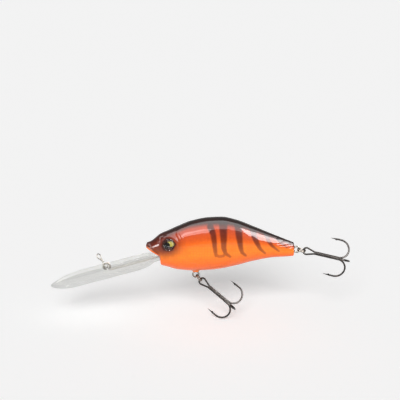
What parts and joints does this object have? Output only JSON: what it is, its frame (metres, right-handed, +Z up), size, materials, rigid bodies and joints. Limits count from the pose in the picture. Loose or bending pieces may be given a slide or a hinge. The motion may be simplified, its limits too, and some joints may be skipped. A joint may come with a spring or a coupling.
{
  "type": "crankbait lure",
  "caption": "Deep-diving crankbait: two-part hollow body, long clear lip, line snap, and treble hooks on split rings.",
  "frame": {"origin": "centre of the line-tie eye on the diving lip", "axes": "+X from nose to tail, +Z up in the swimming attitude, the body is symmetric about Y = 0"},
  "size_m": [0.1424, 0.0228, 0.0504],
  "materials": {
    "body_paint": "airbrushed orange with a dark back and stripes under clear coat",
    "clear_lip": "polished clear polycarbonate",
    "stainless_wire": "bright drawn stainless wire",
    "ring_steel": "dark plated spring wire",
    "black_nickel": "black nickel plate",
    "eye_print": "printed iris and pupil",
    "eye_clear": "clear domed resin",
    "ballast_steel": "bare steel",
    "rattle_brass": "bare brass"
  },
  "bodies": {
    "lure_body": {"left_body_shell": "body_paint", "right_body_shell": "body_paint", "diving_lip": "clear_lip", "line_tie_wire": "stainless_wire", "belly_hook_hanger": "stainless_wire", "tail_hook_hanger": "stainless_wire", "left_eye_disc": "eye_print", "right_eye_disc": "eye_print", "left_eye_dome": "eye_clear", "right_eye_dome": "eye_clear", "keel_weight": "ballast_steel"},
    "snap": {"line_snap": "stainless_wire"},
    "belly_ring": {"belly_split_ring": "ring_steel"},
    "belly_treble": {"belly_treble_double": "black_nickel", "belly_treble_single": "black_nickel"},
    "tail_ring": {"tail_split_ring": "ring_steel"},
    "tail_treble": {"tail_treble_double": "black_nickel", "tail_treble_single": "black_nickel"},
    "transfer_weight": {"transfer_ball_front": "ballast_steel", "transfer_ball_rear": "ballast_steel"},
    "rattle": {"rattle_ball": "rattle_brass"}
  },
  "joints": [
    {"name": "snap_swing", "type": "hinge", "parent": "lure_body", "child": "snap", "pos_m": [0, 0, 0], "axis": [0, 1, 0], "range_deg": [-30, 80]},
    {"name": "belly_ring_swing", "type": "hinge", "parent": "lure_body", "child": "belly_ring", "pos_m": [0.0422, 0, -0.0039], "axis": [0, 1, 0], "range_deg": [-12, 75]},
    {"name": "belly_treble_swing", "type": "hinge", "parent": "belly_ring", "child": "belly_treble", "pos_m": [0.04417, 0.00051, -0.00663], "axis": [-0.6374, -0.1994, -0.7443], "range_deg": [-28, 36]},
    {"name": "tail_ring_swing", "type": "hinge", "parent": "lure_body", "child": "tail_ring", "pos_m": [0.0898, 0, 0.0085], "axis": [0, 1, 0], "range_deg": [-50, 70]},
    {"name": "tail_treble_swing", "type": "hinge", "parent": "tail_ring", "child": "tail_treble", "pos_m": [0.093, 0.00035, 0.00784], "axis": [-0.2266, -0.2521, -0.9408], "range_deg": [-36, 36]},
    {"name": "transfer_roll", "type": "slide", "parent": "lure_body", "child": "transfer_weight", "axis": [1, 0, 0], "range_m": [0, 0.014]},
    {"name": "rattle_roll", "type": "slide", "parent": "lure_body", "child": "rattle", "axis": [1, 0, 0], "range_m": [0, 0.004]}
  ]
}
